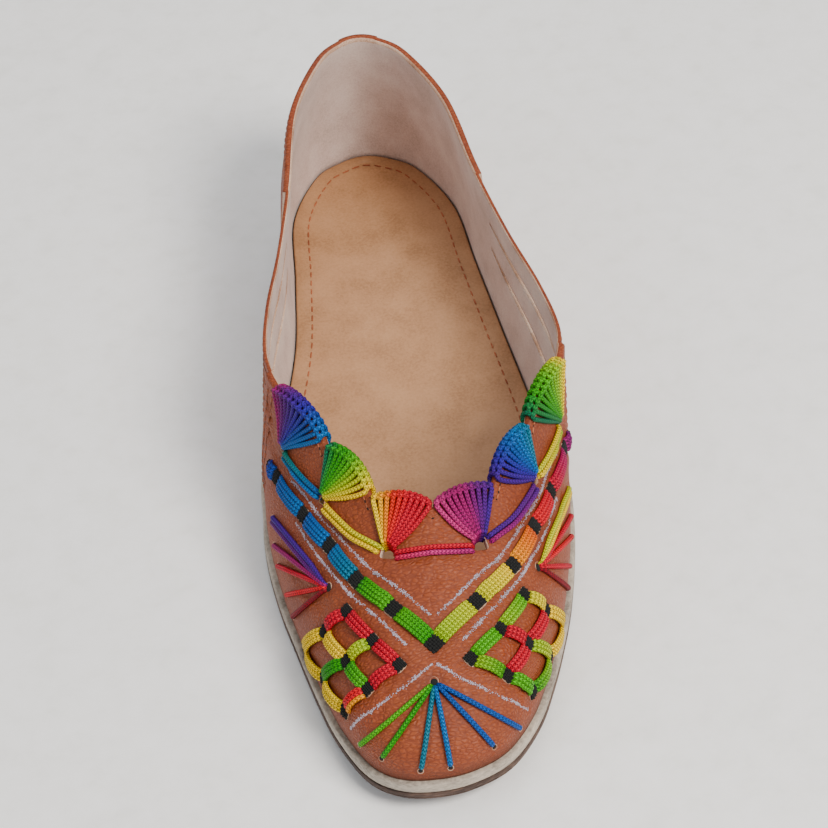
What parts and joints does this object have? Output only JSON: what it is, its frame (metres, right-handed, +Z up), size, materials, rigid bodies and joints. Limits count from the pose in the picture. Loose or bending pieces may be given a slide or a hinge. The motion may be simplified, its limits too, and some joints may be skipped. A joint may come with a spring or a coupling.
{
  "type": "embroidered leather slip-on flat",
  "caption": "Closed-toe leather slip-on flat with a scalloped opening, cord fans over its edge, a V-shaped cord band, lattice squares and a low heel.",
  "frame": {"origin": "middle of the shoe's footprint, on the floor under the sole", "axes": "+Y from toe to heel, +X from the inner side of the foot to the outer side, +Z up"},
  "size_m": [0.0877, 0.2494, 0.0635],
  "materials": {
    "leather": "pebbled tan leather, half matt",
    "midsole": "matt cream foam",
    "outsole": "matt dark brown rubber",
    "insole": "smooth natural leather",
    "green_cord": "knitted cord dyed green, lime and blue",
    "yellow_cord": "knitted cord dyed yellow, green and red",
    "purple_cord": "knitted cord dyed purple and magenta",
    "blue_cord": "knitted cord dyed blue and purple",
    "red_cord": "knitted cord dyed red and magenta"
  },
  "bodies": {
    "root": {"outsole": "outsole", "midsole": "midsole", "insole": "insole", "upper": "leather", "band": "green_cord", "toe_fan": "green_cord", "lattice_inner": "yellow_cord", "lattice_outer": "yellow_cord", "side_fan_inner": "purple_cord", "side_fan_outer": "purple_cord", "link_front_inner": "yellow_cord", "link_front_outer": "yellow_cord", "link_rear_inner": "blue_cord", "link_rear_outer": "blue_cord", "link_middle": "red_cord", "fan_front_inner": "blue_cord", "fan_middle_inner": "blue_cord", "fan_rear_inner": "blue_cord", "fan_front_outer": "red_cord", "fan_middle_outer": "red_cord", "fan_rear_outer": "red_cord"}
  },
  "joints": []
}
